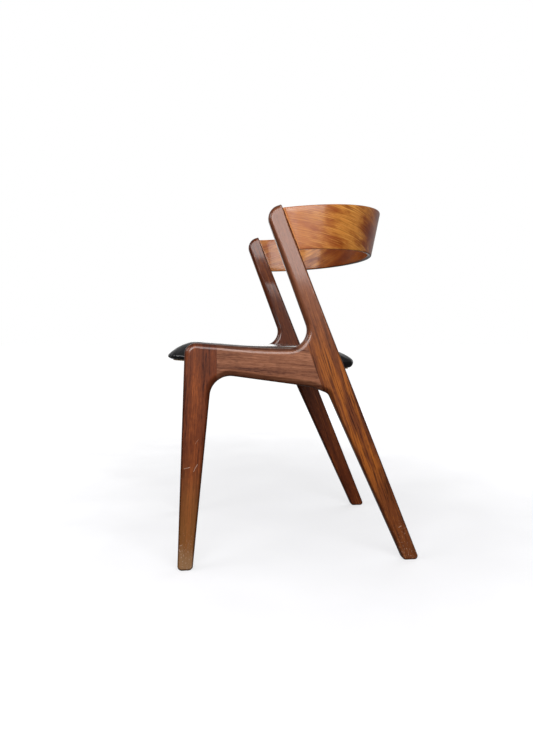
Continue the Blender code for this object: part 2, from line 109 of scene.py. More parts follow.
UNDER_LIFT = 0.0002      # keeps the lip off the dust cover
LEATHER_VOXEL = 0.0042
MOST_SWELL = 0.0012      # how far the leather may blow up from its form
SWELL_FRAMES = 20
# Where the leather is tacked: from and to over the underside, and how firmly.
TACKED = ((-1.0, 0.0030, 1.0), (0.0030, 0.0065, 0.5))
UNDERSIDE = 0.0012       # what lies lower than this over the underside is the flat of the lip
TUCK, HOLLOW, SLACK = 0.0007, 0.0010, 0.00030   # depths of the corner tucks, the sat-in hollow, the slack
TUCKS_AT, TUCK_DEGREES = ((22, 0.6), (45, 1.0), (66, 0.7)), 3.2   # round a corner, and how strong
HOLLOW_Y, HOLLOW_HALF = -0.060, (0.120, 0.110)
SLACK_WAVES = (26, 15, 20)
BOARD_TOP = 0.0096
FOAM_BELOW = 0.0050
FOAM_LEAST = 0.0012
FOAM_IN = 0.002

MID_X = WIDTH / 2 - FRAME_T / 2
SIDES = ((1, "left"), (-1, "right"))

shown = bpy.data.collections.new("looks")
bpy.context.scene.collection.children.link(shown)


# ---------------------------------------------------------------- mesh helpers
# Edges that turn by more than this many degrees stay sharp.
TIMBER_SHARP, CARRIED_SHARP, BAND_SHARP, FOAM_SHARP, LEATHER_SHARP = 32, 40, 50, 50, 60


def add_object(name, points, faces, smooth_angle=0):
    mesh = bpy.data.meshes.new(name)
    mesh.from_pydata([tuple(p) for p in points], [], faces)
    work = bmesh.new()
    work.from_mesh(mesh)
    bmesh.ops.recalc_face_normals(work, faces=work.faces)
    work.to_mesh(mesh)
    work.free()
    obj = bpy.data.objects.new(name, mesh)
    shown.objects.link(obj)
    if smooth_angle:
        soften(obj, smooth_angle)
    return obj


def soften(obj, angle):
    mesh = obj.data
    mesh.polygons.foreach_set("use_smooth", [True] * len(mesh.polygons))
    mesh.set_sharp_from_angle(angle=math.radians(angle))


def loft(loops):
    """A closed body through rings that have the same number of points."""
    n = len(loops[0])
    points = [p for loop in loops for p in loop]
    faces = []
    for k in range(len(loops) - 1):
        for i in range(n):
            j = (i + 1) % n
            faces.append((k * n + i, k * n + j, (k + 1) * n + j, (k + 1) * n + i))
    faces.append(tuple(range(n)))
    faces.append(tuple(range((len(loops) - 1) * n, len(loops) * n)))
    return points, faces


def apply_modifiers(obj):
    """The object's mesh becomes what its modifiers make of it."""
    graph = bpy.context.evaluated_depsgraph_get()
    done = bpy.data.meshes.new_from_object(obj.evaluated_get(graph), depsgraph=graph)
    obj.modifiers.clear()
    obj.data = done


def paint(obj, material):
    obj.data.materials.clear()
    obj.data.materials.append(material)


def smooth(t):
    t = min(1.0, max(0.0, t))
    return t * t * (3 - 2 * t)


# ---------------------------------------------------------------- side frames
def edge_line(line):
    return np.array((line[0], 0.0)), np.array((line[1], 1.0))


def slope_line(line):
    return np.array((line[0], line[1])), np.array((1.0, line[2]))


def crossing(a, b):
    (p, d), (q, e) = a, b
    t = np.linalg.solve(np.array([[d[0], -e[0]], [d[1], -e[1]]]), q - p)
    return p + t[0] * d


FLOOR = (np.array((0.0, 0.0)), np.array((1.0, 0.0)))
TIP = np.array((POST_BACK[0] + POST_BACK[1] * TIP_Z, TIP_Z))
TOP_EDGE = (TIP, np.array((1.0, TIP_SLOPE)))


def frame_corners():
    """Corner, fillet radius, and the rounding of the arris: width over the face, depth in x."""
    leg_f, leg_b = edge_line(LEG_FRONT), edge_line(LEG_BACK)
    rear_f, post_b, post_f = (edge_line(e) for e in (REAR_LEG_FRONT, POST_BACK, POST_FRONT))
    top, low = slope_line(RAIL_TOP), slope_line(RAIL_LOW)
    bottom, gusset = slope_line(RAIL_BOTTOM), slope_line(REAR_GUSSET)
    return (
        (crossing(leg_f, FLOOR), 0.0095, 0.0045, 0.0045),
        (crossing(leg_f, top), 0.0240, 0.0115, 0.0085),
        (crossing(top, low), 0.9000, 0.0130, 0.0090),
        (crossing(low, post_f), 0.0380, 0.0130, 0.0090),
        (crossing(post_f, TOP_EDGE), 0.0280, 0.0090, 0.0080),
        (TIP, 0.0034, 0.0030, 0.0030),
        (crossing(post_b, FLOOR), 0.0072, 0.0045, 0.0045),
        (crossing(rear_f, FLOOR), 0.0090, 0.0045, 0.0045),
        (crossing(rear_f, gusset), 0.0160, 0.0130, 0.0085),
        (crossing(gusset, bottom), 0.0800, 0.0150, 0.0090),
        (crossing(bottom, leg_b), 0.0427, 0.0150, 0.0090),
        (crossing(leg_b, FLOOR), 0.0095, 0.0045, 0.0045),
    )


# The arris along the straight run after a corner, where it isn't the blend of its two ends: width, depth.
STRAIGHT_ROUND = {0: (0.0060, 0.0055), 4: (0.0042, 0.0042), 5: (0.0052, 0.0048),
                  7: (0.0065, 0.0060), 10: (0.0070, 0.0065)}
ROUND_RAMP = 0.050       # over which the arris changes from a corner's width to the run's
# Hand sanding leaves the arris a little wider here and narrower there: share of its width, waves to the metre.
WAVER, WAVES = 0.10, 22


def profile_points(corners, arc_step=0.06, straight_step=0.006):
    """The outline's points, each with its outward normal and the arris's width and depth."""
    n = len(corners)
    arcs = []
    for i, (corner, radius, _, _) in enumerate(corners):
        before, after = corners[i - 1][0], corners[(i + 1) % n][0]
        u = (before - corner) / np.linalg.norm(before - corner)
        v = (after - corner) / np.linalg.norm(after - corner)
        angle = math.acos(float(np.clip(u @ v, -1, 1)))
        centre = corner + (u + v) / np.linalg.norm(u + v) * radius / math.sin(angle / 2)
        start = corner + u * radius / math.tan(angle / 2)
        end = corner + v * radius / math.tan(angle / 2)
        a0 = math.atan2(*(start - centre)[::-1])
        a1 = math.atan2(*(end - centre)[::-1])
        arcs.append((centre, radius, a0, (a1 - a0 + math.pi) % (2 * math.pi) - math.pi))
    out = []
    for i, (centre, radius, a0, sweep) in enumerate(arcs):
        width, depth = corners[i][2], corners[i][3]
        convex = 1.0 if sweep < 0 else -1.0
        steps = max(4, math.ceil(abs(sweep) / arc_step))
        for k in range(steps + 1):
            a = a0 + sweep * k / steps
            ray = np.array((math.cos(a), math.sin(a)))
            out.append((centre + radius * ray, convex * ray, width, depth))
        start, normal = out[-1][0], out[-1][1]
        nxt = arcs[(i + 1) % n]
        end = nxt[0] + nxt[1] * np.array((math.cos(nxt[2]), math.sin(nxt[2])))
        length = float(np.linalg.norm(end - start))
        steps = max(1, round(length / straight_step))
        target = corners[(i + 1) % n][2:]
        mid = STRAIGHT_ROUND.get(i)
        for k in range(1, steps):
            t = k / steps
            if mid is None:
                w = width + (target[0] - width) * smooth(t)
                d = depth + (target[1] - depth) * smooth(t)
            else:
                ramp = ROUND_RAMP / length
                a, b = smooth(t / ramp), smooth((1 - t) / ramp)
                w = mid[0] + (width - mid[0]) * (1 - a) + (target[0] - mid[0]) * (1 - b)
                d = mid[1] + (depth - mid[1]) * (1 - a) + (target[1] - mid[1]) * (1 - b)
            out.append((start + (end - start) * t, normal, w, d))
    return out


def frame_blank(side, arc_steps=8):
    ring = profile_points(frame_corners())
    levels = [(math.pi / 2 * k / arc_steps, 1) for k in range(arc_steps, -1, -1)]
    levels += [(math.pi / 2 * k / arc_steps, -1) for k in range(arc_steps + 1)]
    loops = []
    for phi, face in levels:
        loop = []
        for point, normal, width, depth in ring:
            spot = Vector((point[0] * WAVES, point[1] * WAVES, side * 3 + face))
            waver = 1 + WAVER * noise.noise(spot)
            inset = width * waver * (1 - math.cos(phi))
            offset = FRAME_T / 2 - depth * (1 - math.sin(phi))
            y, z = point - normal * inset
            loop.append((side * (MID_X + face * offset), y + DEPTH_SHIFT, z))
        loops.append(loop)
    return loft(loops)


def prism(name, yz):
    """A body right across the chair with this outline from the side."""
    loops = [[(x, y + DEPTH_SHIFT, z) for y, z in yz] for x in (0.30, -0.30)]
    return add_object(name, *loft(loops))


def joint_prisms():
    """What is cut away on either side of the two glue lines, half the gap past each.

    The corners that aren't on a glue line only have to lie outside the timber that is cut.
    """
    h = GAP / 2
    leg_keep = prism("behind_leg_joint", (
        (LEG_JOINT_Y - h, 0.345), (LEG_JOINT_Y - h, 0.90), (0.50, 0.90),
        (0.50, -0.10), (-0.12, -0.10), (-0.12, 0.345)))
    leg_drop = prism("ahead_of_leg_joint", (
        (-0.50, -0.10), (-0.12, -0.10), (-0.12, 0.30),
        (LEG_JOINT_Y + h, 0.345), (LEG_JOINT_Y + h, 0.60), (-0.50, 0.60)))
    y0, z0, lean = POST_JOINT

    def on_joint(z, push):
        return y0 + lean * (z - z0) + push / math.cos(math.atan(lean)), z

    ahead = prism("ahead_of_post_joint", (
        on_joint(0.345, h), on_joint(0.510, h), (-0.05, 0.60),
        (-0.50, 0.60), (-0.50, -0.10), (0.03, -0.10)))
    behind = prism("behind_post_joint", (
        on_joint(0.345, -h), on_joint(0.510, -h), (-0.10, 0.60),
        (-0.10, 0.90), (0.60, 0.90), (0.60, -0.10), (0.03, -0.10)))
    return leg_keep, leg_drop, ahead, behind


def timber(name, blank, cutters, material):
    obj = add_object(name, *blank)
    for cutter in cutters:
        mod = obj.modifiers.new("cut", "BOOLEAN")
        mod.operation, mod.solver, mod.object = "DIFFERENCE", "EXACT", cutter
    apply_modifiers(obj)
    soften(obj, TIMBER_SHARP)
    mod = obj.modifiers.new("normals", "WEIGHTED_NORMAL")
    mod.keep_sharp, mod.weight = True, 80
    apply_modifiers(obj)
    paint(obj, material)
    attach(obj, "root")
    return obj


# ---------------------------------------------------------------- backrest band
def band_edge(v, values):
    """Between a value at the lower edge and one at the upper edge."""
    return values[0] + (values[1] - values[0]) * v


def band_point(s, v):
    """On the band's outside: s runs along it from post to post, v from its lower to its upper edge."""
    reach, power = band_edge(v, BAND_HALF_MAX), band_edge(v, BAND_POWER)
    base_z = band_edge(v, BAND_Z)
    y0 = POST_BACK[0] + POST_BACK[1] * base_z + GAP
    back = band_edge(v, BAND_BACK_Y)
    k = (1 - (BAND_HALF_AT_POST / reach) ** power) ** (1 / power)
    half = (back - y0) / (1 + k)
    t0 = -math.asin(min(1.0, k ** (power / 2)))
    t = t0 + (math.pi - 2 * t0) * s
    c, d = math.cos(t), math.sin(t)
    x = reach * math.copysign(abs(c) ** (2 / power), c)
    y = back - half + half * math.copysign(abs(d) ** (2 / power), d)
    z = base_z + band_edge(v, BAND_RISE) * (y - y0) / (back - y0)
    return np.array((x, y, z))


def band_frame(s, v):
    """Point, direction along the band and outward normal."""
    e = 1e-3
    along = band_point(min(s + e, 1), v) - band_point(max(s - e, 0), v)
    up = band_point(s, min(v + e, 1)) - band_point(s, max(v - e, 0))
    point = band_point(s, v)
    normal = np.cross(along, up)
    normal /= np.linalg.norm(normal)
    if normal @ np.array((point[0], point[1] - BAND_INSIDE_Y, 0)) < 0:
        normal = -normal
    return point, along / np.linalg.norm(along), normal


def band_layer_point(s, v, depth):
    """A point inside the band. Near its ends it slides along, so that the end lies flat on the post."""
    point, along, normal = band_frame(s, v)
    inner = point - normal * depth
    end_s = 0.0 if s < 0.5 else 1.0
    p_end, a_end, n_end = band_frame(end_s, v)
    p_in = p_end - n_end * depth
    off = p_in[1] - (POST_BACK[0] + POST_BACK[1] * p_in[2] + GAP)
    slide = -off / (a_end[1] - POST_BACK[1] * a_end[2])
    return inner + along * slide * max(0.0, 1 - min(s, 1 - s) / BAND_END_BLEND) ** 2


def band_section(inset, arc_parts=6, rows=8):
    """The cross-section with rounded edges, as depth and share of the height."""
    r = BAND_EDGE_R
    near, far, low, high = r, BAND_T - r, r, BAND_HIGH - r
    loop = []
    for cx, cy, a0 in ((far, low, -90), (far, high, 0), (near, high, 90), (near, low, 180)):
        for k in range(arc_parts + 1):
            a = math.radians(a0 + 90 * k / arc_parts)
            loop.append((cx + (r - inset) * math.cos(a), (cy + (r - inset) * math.sin(a)) / BAND_HIGH))
    full = []
    for i, p in enumerate(loop):
        q = loop[(i + 1) % len(loop)]
        full.append(p)
        if abs(q[1] - p[1]) > 0.3:   # one of the two broad faces
            full += [(p[0], p[1] + (q[1] - p[1]) * f / rows) for f in range(1, rows)]
    return full


def backrest_band(stations=200):
    """The band and its length. Its points carry where they lie in it: along, up and through."""
    # Share of the length and inset of the section: the ends' edges are eased.
    ends = [(0.0, 0.0013), (0.0005, 0.00062), (0.0012, 0.00018), (0.0020, 0.0)]
    inner = [(ends[-1][0] + (1 - 2 * ends[-1][0]) * k / stations, 0.0) for k in range(1, stations)]
    share = ends + inner + [(1 - s, inset) for s, inset in reversed(ends)]
    loops, lay = [], []
    run, last = 0.0, None
    for s, inset in share:
        centre = band_point(s, 0.5)
        run += 0.0 if last is None else float(np.linalg.norm(centre - last))
        last = centre
        section = band_section(inset)
        loops.append([band_layer_point(s, v, depth) + np.array((0, DEPTH_SHIFT, 0))
                      for depth, v in section])
        lay += [(run, v * BAND_HIGH, depth) for depth, v in section]
    obj = add_object("backrest_band", *loft(loops), BAND_SHARP)
    store = obj.data.attributes.new("lay", "FLOAT_VECTOR", "POINT")
    store.data.foreach_set("vector", np.array(lay, np.float32).ravel())
    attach(obj, "root")
    return obj, run


# ---------------------------------------------------------------- seat
def seat_under(y):
    return SEAT_UNDER[1] + SEAT_UNDER[2] * (y - SEAT_UNDER[0])


def seat_plan(inset, per_corner=16, per_edge=16):
    """The seat's outline seen from above, drawn in by inset."""
    hw = SEAT_HALF - inset
    y0, y1 = SEAT_FRONT_Y + inset, SEAT_REAR_Y - inset
    rf, rr = (min(max(r - CORNER_SHRINK * inset, CORNER_LEAST), 0.9 * hw, 0.45 * (y1 - y0))
              for r in SEAT_CORNER_R)
    corners = ((hw - rf, y0 + rf, -90, rf), (hw - rr, y1 - rr, 0, rr),
               (-hw + rr, y1 - rr, 90, rr), (-hw + rf, y0 + rf, 180, rf))
    loop = []
    for i, (cx, cy, a0, r) in enumerate(corners):
        for k in range(per_corner):
            a = math.radians(a0 + 90 * k / (per_corner - 1))
            loop.append((cx + r * math.cos(a), cy + r * math.sin(a)))
        nx, ny, b0, nr = corners[(i + 1) % 4]
        start = loop[-1]
        end = (nx + nr * math.cos(math.radians(b0)), ny + nr * math.sin(math.radians(b0)))
        for k in range(1, per_edge + 1):
            t = k / (per_edge + 1)
            loop.append((start[0] + (end[0] - start[0]) * t, start[1] + (end[1] - start[1]) * t))
    fade = max(0.0, 1 - inset / SEAT_BOW_FADE)
    out = []
    for x, y in loop:
        bulge = max(0.0, 1 - (x / SEAT_HALF) ** 2) * fade
        mid = (y0 + y1) / 2
        edge = abs(y - mid) / (y1 - mid)
        y += (SEAT_BOW[1] if y > mid else -SEAT_BOW[0]) * bulge * smooth((edge - 0.5) / 0.5)
        out.append((x, y))
    return out


def front_share(y):
    """1 at the seat's front and 0 at its rear."""
    return smooth((SEAT_REAR_Y - y) / (SEAT_REAR_Y - SEAT_FRONT_Y))


def seat_tip_z(y):
    f = front_share(y)
    return seat_under(y) + SEAT_TIP_H[0] * f + SEAT_TIP_H[1] * (1 - f)


def seat_top_z(y, inset):
    f = front_share(y)
    slope, start, ease = SEAT_RISE
    crown = SEAT_TOP_Z + SEAT_CROWN * smooth(inset / SEAT_CROWN_REACH)
    crown -= SEAT_REAR_DROP * max(0.0, y + SEAT_REAR_DROP_FROM) ** 2
    crown += slope * (start - y + math.hypot(start - y, ease)) / 2
    roll = SEAT_ROLL[0] * f + SEAT_ROLL[1] * (1 - f)
    full = SEAT_FULL[0] * f + SEAT_FULL[1] * (1 - f)
    tip = seat_tip_z(y)
    return tip + (crown - tip) * (1 - (1 - min(1.0, inset / roll)) ** 2) ** full


def seat_height(kind, share, y, inset):
    if kind == "under":
        return seat_under(y)
    if kind == "roll":
        return seat_under(y) + (seat_tip_z(y) - seat_under(y)) * share
    return seat_top_z(y, inset)


def seat_form(name, roll_parts=6):
    """The seat's outside as a closed form."""
    rings = [(inset, "under", 0.0) for inset in (0.150, 0.080, 0.036, 0.022)]
    for k in range(roll_parts + 1):
        a = math.pi / 2 * k / roll_parts
        rings.append((UNDER_ROLL * (1 - math.sin(a)), "roll", 1 - math.cos(a)))
    rings += [(inset, "top", 0.0) for inset in (
        0.0004, 0.0012, 0.0025, 0.0045, 0.007, 0.010, 0.014, 0.019, 0.025, 0.032,
        0.040, 0.048, 0.060, 0.080, 0.105, 0.130, 0.160, 0.190)]
    loops = []
    for inset, kind, share in rings:
        loops.append([(x, y + DEPTH_SHIFT, seat_height(kind, share, y, inset) + UNDER_LIFT)
                      for x, y in seat_plan(inset)])
    return add_object(name, *loft(loops))


def read_points(mesh):
    out = np.empty(len(mesh.vertices) * 3, np.float32)
    mesh.vertices.foreach_get("co", out)
    return out.reshape(-1, 3).astype(float)


def write_points(mesh, points):
    mesh.vertices.foreach_set("co", points.astype(np.float32).ravel())
    mesh.update()


def above_under(points):
    """How high each point lies over the plane of the seat's underside."""
    return points[:, 2] - (SEAT_UNDER[1] + SEAT_UNDER[2] * (points[:, 1] - DEPTH_SHIFT - SEAT_UNDER[0]))


def edge_inset(points):
    """How far in from the seat's outline each point lies, in plan, near enough for the lip."""
    x, y = np.abs(points[:, 0]), points[:, 1] - DEPTH_SHIFT
    mid, half = (SEAT_FRONT_Y + SEAT_REAR_Y) / 2, (SEAT_REAR_Y - SEAT_FRONT_Y) / 2
    r = sum(SEAT_CORNER_R) / 2
    qx, qy = x - (SEAT_HALF - r), np.abs(y - mid) - (half - r)
    outside = np.hypot(np.maximum(qx, 0), np.maximum(qy, 0)) + np.minimum(np.maximum(qx, qy), 0) - r
    return -outside


def swell(obj):
    """Blows the leather up a little like cloth over foam, held where it is tacked underneath."""
    before = read_points(obj.data)
    held = obj.vertex_groups.new(name="tacked")
    low = above_under(before)
    for lo, hi, weight in TACKED:
        held.add([int(i) for i in np.nonzero((low >= lo) & (low < hi))[0]], weight, "REPLACE")
    cloth = obj.modifiers.new("cloth", "CLOTH")
    s = cloth.settings
    s.quality, s.mass = 6, 0.4
    s.tension_stiffness = s.compression_stiffness = 18
    s.shear_stiffness, s.bending_stiffness = 8, 1.2
    s.vertex_group_mass = "tacked"
    s.use_pressure, s.uniform_pressure_force = True, 3.5
    s.effector_weights.gravity = 0
    cloth.collision_settings.use_collision = False
    for step in range(SWELL_FRAMES):
        bpy.context.scene.frame_set(step + 1)
    apply_modifiers(obj)
    bpy.context.scene.frame_set(1)
    move = read_points(obj.data) - before
    far = np.linalg.norm(move, axis=1, keepdims=True)
    write_points(obj.data, before + move * MOST_SWELL * np.tanh(far / MOST_SWELL) / np.maximum(far, 1e-9))
    obj.vertex_groups.clear()


def open_underneath(obj):
    """Cuts the leather away under the board, so that what is left is a skin with a lip all round."""
    points = read_points(obj.data)
    inner = (above_under(points) < UNDERSIDE) & (edge_inset(points) > LEATHER_LIP)
    work = bmesh.new()
    work.from_mesh(obj.data)
    work.verts.ensure_lookup_table()
    bmesh.ops.delete(work, geom=[work.verts[int(i)] for i in np.nonzero(inner)[0]], context="VERTS")
    work.to_mesh(obj.data)
    work.free()


def crease_leather(obj):
    """Tucks at the corners, a shallow sat-in hollow and faint slack in the leather."""
    mesh = obj.data
    co = read_points(mesh)
    normal = np.empty(len(mesh.vertices) * 3, np.float32)
    mesh.vertices.foreach_get("normal", normal)
    normal = normal.reshape(-1, 3)
    y, high = co[:, 1] - DEPTH_SHIFT, above_under(co)
    push = np.zeros(len(co))
    for sx in (1, -1):
        for end, r, way in ((SEAT_FRONT_Y, SEAT_CORNER_R[0], -1), (SEAT_REAR_Y, SEAT_CORNER_R[1], 1)):
            cy = end - way * r
            dx, dy = co[:, 0] * sx - (SEAT_HALF - r), (y - cy) * way
            near = np.clip((np.hypot(dx, dy) - 0.45 * r) / (0.5 * r), 0, 1) * (dx > 0) * (dy > 0)
            low = np.clip(1 - (high - 0.002) / 0.022, 0, 1) * np.clip((high - 0.0005) / 0.003, 0, 1)
            turn = np.degrees(np.arctan2(dy, dx))
            for angle, strength in TUCKS_AT:
                push -= TUCK * strength * near * low * np.exp(-((turn - angle) / TUCK_DEGREES) ** 2)
    top = np.clip((normal[:, 2] - 0.5) * 2, 0, 1)
    hollow = np.exp(-((co[:, 0] / HOLLOW_HALF[0]) ** 2 + ((y - HOLLOW_Y) / HOLLOW_HALF[1]) ** 2))
    slack = np.array([noise.noise(Vector(p * SLACK_WAVES)) for p in co])
    push += (SLACK * slack - HOLLOW * hollow) * top
    write_points(mesh, co + normal * push[:, None])


def leather_seat(material):
    """The cover: the seat's form, blown up a little, opened underneath and given a thickness."""
    form, obj = seat_form("seat_form"), seat_form("seat_leather")
    remesh = obj.modifiers.new("remesh", "REMESH")
    remesh.mode, remesh.voxel_size = "VOXEL", LEATHER_VOXEL
    wrap = obj.modifiers.new("wrap", "SHRINKWRAP")
    wrap.target, wrap.wrap_method = form, "NEAREST_SURFACEPOINT"
    apply_modifiers(obj)
    bpy.data.objects.remove(form, do_unlink=True)
    swell(obj)
    ease = obj.modifiers.new("ease", "SMOOTH")
    ease.factor, ease.iterations = 0.5, 2
    apply_modifiers(obj)
    open_underneath(obj)
    sub = obj.modifiers.new("fine", "SUBSURF")
    sub.levels = sub.render_levels = 1
    apply_modifiers(obj)
    crease_leather(obj)
    skin = obj.modifiers.new("skin", "SOLIDIFY")
    skin.thickness, skin.offset = LEATHER_T, -1
    apply_modifiers(obj)
    soften(obj, LEATHER_SHARP)
    paint(obj, material)
    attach(obj, "root")
    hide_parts("seat_cover")


def foam_core(material):
    """The foam pad under the leather, pressed in a little by it."""
    loops = [[(x, y + DEPTH_SHIFT, seat_under(y) + BOARD_TOP) for x, y in seat_plan(0.010)]]
    for inset in (0.006, 0.010, 0.016, 0.024, 0.034, 0.046, 0.070, 0.105, 0.145, 0.185):
        loop = []
        for x, y in seat_plan(inset + FOAM_IN):
            least = seat_under(y) + BOARD_TOP + FOAM_LEAST
            loop.append((x, y + DEPTH_SHIFT, max(seat_top_z(y, inset) - FOAM_BELOW, least)))
        loops.append(loop)
    obj = add_object("seat_foam_core", *loft(loops), FOAM_SHARP)
    paint(obj, material)
    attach(obj, "root")
    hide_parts("seat_foam")


# ---------------------------------------------------------------- node materials
class Nodes:
    """A short way to write the node tree of a new material or world."""

    def __init__(self, owner):
        owner.use_nodes = True
        self.owner, self.tree = owner, owner.node_tree
        self.shader = next(node for node in self.tree.nodes if node.outputs)

    def add(self, kind, inputs=None, **settings):
        node = self.tree.nodes.new(kind)
        for key, value in settings.items():
            setattr(node, key, value)
        for key, value in (inputs or {}).items():
            self.put(node.inputs[key], value)
        return node

    def put(self, socket, value):
        if isinstance(value, bpy.types.NodeSocket):
            self.tree.links.new(value, socket)
        else:
            socket.default_value = value

    def where(self, kind="Object"):
        return self.add("ShaderNodeTexCoord").outputs[kind]

    def split(self, vector):
        return self.add("ShaderNodeSeparateXYZ", {0: vector}).outputs

    def join(self, **parts):
        return self.add("ShaderNodeCombineXYZ", parts).outputs[0]

    def turn(self, vector, rotation):
        return self.add("ShaderNodeMapping", {"Vector": vector, "Rotation": rotation}).outputs[0]

    def math(self, op, a, b=0.0):
        return self.add("ShaderNodeMath", {0: a, 1: b}, operation=op).outputs[0]

    def swing(self, value, size):
        """A texture's value about its middle, times size."""
        return self.math("MULTIPLY", self.math("SUBTRACT", value, 0.5), size)

    def vector(self, op, a, b, output="Vector"):
        return self.add("ShaderNodeVectorMath", {0: a, 1: b}, operation=op).outputs[output]

    def scale(self, vector, factors):
        return self.vector("MULTIPLY", vector, factors)

    def dot(self, a, b):
        return self.vector("DOT_PRODUCT", a, b, "Value")

    def distance(self, a, b):
        return self.vector("DISTANCE", a, b, "Value")

    def noise(self, vector, scale=1.0, detail=2.0, rough=0.5, distort=0.0):
        inputs = {"Vector": vector, "Scale": scale, "Detail": detail, "Roughness": rough, "Distortion": distort}
        return self.add("ShaderNodeTexNoise", inputs).outputs["Fac"]

    def span(self, value, low, high, to_low=0.0, to_high=1.0):
        """Goes softly from to_low to to_high as value goes from low to high."""
        inputs = {"Value": value, "From Min": low, "From Max": high, "To Min": to_low, "To Max": to_high}
        return self.add("ShaderNodeMapRange", inputs, interpolation_type="SMOOTHSTEP").outputs[0]

    def mix(self, share, a, b):
        node = self.add("ShaderNodeMix", data_type="RGBA")
        self.put(node.inputs["Factor"], share)
        self.put(node.inputs["A"], a)
        self.put(node.inputs["B"], b)
        return node.outputs["Result"]

    def bump(self, height, distance, strength, under=None):
        inputs = {"Height": height, "Distance": distance, "Strength": strength}
        if under is not None:
            inputs["Normal"] = under
        return self.add("ShaderNodeBump", inputs).outputs["Normal"]

    def finish(self, **sockets):
        for key, value in sockets.items():
            self.put(self.shader.inputs[key.replace("_", " ")], value)
        return self.owner


def new_material(name):
    return Nodes(bpy.data.materials.new(name))


def rgb(r, g, b):
    """A colour given as it looks on screen."""
    line = [c / 12.92 if c <= 0.04045 else ((c + 0.055) / 1.055) ** 2.4 for c in (r / 255, g / 255, b / 255)]
    return (*line, 1.0)


# How fine each part of a timber's figure is: along the grain, across it, and through the plank.
GRAIN = {
    "wander": (4.0, 16.0, 14.0),
    "streaks": (11.0, 330.0, 120.0),
    "bands": (4.0, 62.0, 30.0),
    "mottle": (75.0, 260.0, 240.0),
    "fibres": (40.0, 1500.0, 700.0),
    "pores": (70.0, 1300.0, 900.0),
    "lick": (6.0, 64.0, 24.0),
}
GRAIN_WANDER = 0.014
STREAK_SHARE, BAND_SHARE, MOTTLE_SHARE = 0.40, 0.42, 0.18
FLAME_FROM, FLAME_TO = (0.10, 0.24), (0.52, 0.42)   # heights between which the wood is flamed
UPPER_FROM = (0.42, 0.60)                           # heights over which the post turns paler
FLAME_TONE = rgb(178, 100, 34)
UPPER_TONE = rgb(146, 88, 58)
# the colour of the painted shade on the frames' edges and undersides
EDGE_SHADE_TONE = rgb(48, 20, 10)
PORE_TONE = rgb(34, 13, 8)
WORN_TONE, DRY_TONE = rgb(132, 88, 44), rgb(150, 118, 86)
SCRATCH_TONE = rgb(206, 178, 160)
WOOD_SPECULAR = 0.16
TIMBER_COAT, TIMBER_COAT_ROUGH = 0.62, 0.10
FRAME_TONES = {
    "front_leg": dict(way=(0.055, 1.0), tan=0.60,
                      dark=rgb(60, 22, 9), mid=rgb(112, 54, 27), light=rgb(150, 78, 38)),
    "side_rail": dict(way=(1.0, -0.085), tan=0.0,
                      dark=rgb(78, 38, 22), mid=rgb(138, 86, 60), light=rgb(172, 115, 84)),
    "back_post": dict(way=(-0.345, 1.0), tan=0.04, flame=0.80, upper=0.70,
                      dark=rgb(62, 26, 10), mid=rgb(114, 58, 27), light=rgb(154, 88, 40)),
}
FAR_SHADE_AND_PLANK = (0.74, 0.60, 0.52)   # the right frame is darker and redder: partly painted shade, as its inner faces lie under the seat, partly a darker plank
# Short pale scratches on the left frame's outer face: start and end as (y, z), width.
LEFT_MARKS = {
    "front_leg": (
        ((-0.2320, 0.2129), (-0.2198, 0.2165), 0.0008), ((-0.2128, 0.2072), (-0.2046, 0.2215), 0.0009),
        ((-0.2094, 0.2639), (-0.2021, 0.2731), 0.0003), ((-0.2424, 0.0535), (-0.2373, 0.0553), 0.0010),
        ((-0.2435, 0.0462), (-0.2415, 0.0409), 0.0010)),
    "side_rail": (),
    "back_post": (((0.2243, 0.0728), (0.2299, 0.0756), 0.0011),),
}


def darker(tone):
    return tuple(c * share for c, share in zip(tone, FAR_SHADE_AND_PLANK)) + (1.0,)


def along_grain(n, way, seed):
    """Object coordinates turned so that X runs along the grain, which lies in the y, z direction way."""
    where = n.where()
    x, y, z = n.split(n.turn(where, (-math.atan2(way[1], way[0]), 0, 0)))
    return n.join(X=n.math("ADD", y, seed), Y=z, Z=x), where


def stroke(n, where, start, end, width):
    """1 along a short, slightly curled mark from start to end in the y, z plane, fading over its width."""
    length = math.hypot(end[0] - start[0], end[1] - start[1])
    way = ((end[0] - start[0]) / length, (end[1] - start[1]) / length)
    offset = n.vector("SUBTRACT", where, (0.0, *start))
    along = n.dot(offset, (0.0, *way))
    across = n.dot(offset, (0.0, way[1], -way[0]))
    curl = n.swing(n.noise(where, 160.0, detail=1.0), width * 3.0)
    middle = n.math("ABSOLUTE", n.math("SUBTRACT", along, length / 2))
    over = n.math("MAXIMUM", n.math("SUBTRACT", middle, length / 2), 0.0)
    far = n.math("ADD", n.math("ABSOLUTE", n.math("ADD", across, curl)), over)
    return n.span(far, width * 0.3, width, 1.0, 0.0)


def painted_edge_shade(n):
    """Share of painted shade: darker along the edges of a side frame, where they turn from its faces, and on
    what faces down.
    """
    x, _, z = n.split(n.where("Normal"))
    flat = n.math("ABSOLUTE", x)
    edge = n.math("MULTIPLY", n.span(flat, 0.985, 0.80), n.span(flat, 0.10, 0.45, 0.22, 0.60))
    return n.math("MAXIMUM", edge, n.span(z, -0.02, -0.22, 0.0, 0.62))


def worn_feet(n, colour, where, share):
    """Tan and dry towards the floor, where shoes and mops have taken the oil off."""
    patch = n.noise(n.scale(where, (40.0, 60.0, 22.0)), detail=3.0)
    level = n.math("ADD", n.split(where)[2], n.swing(patch, 0.08))
    colour = n.mix(n.span(level, 0.06, 0.26, share, 0.0), colour, WORN_TONE)
    colour = n.mix(n.span(level, 0.004, 0.070, share, 0.0), colour, DRY_TONE)
    specks = n.span(n.noise(n.scale(where, (500.0, 420.0, 260.0)), detail=2.0), 0.60, 0.68)
    return n.mix(n.math("MULTIPLY", specks, n.span(level, 0.01, 0.12, 0.40, 0.0)), colour, SCRATCH_TONE)


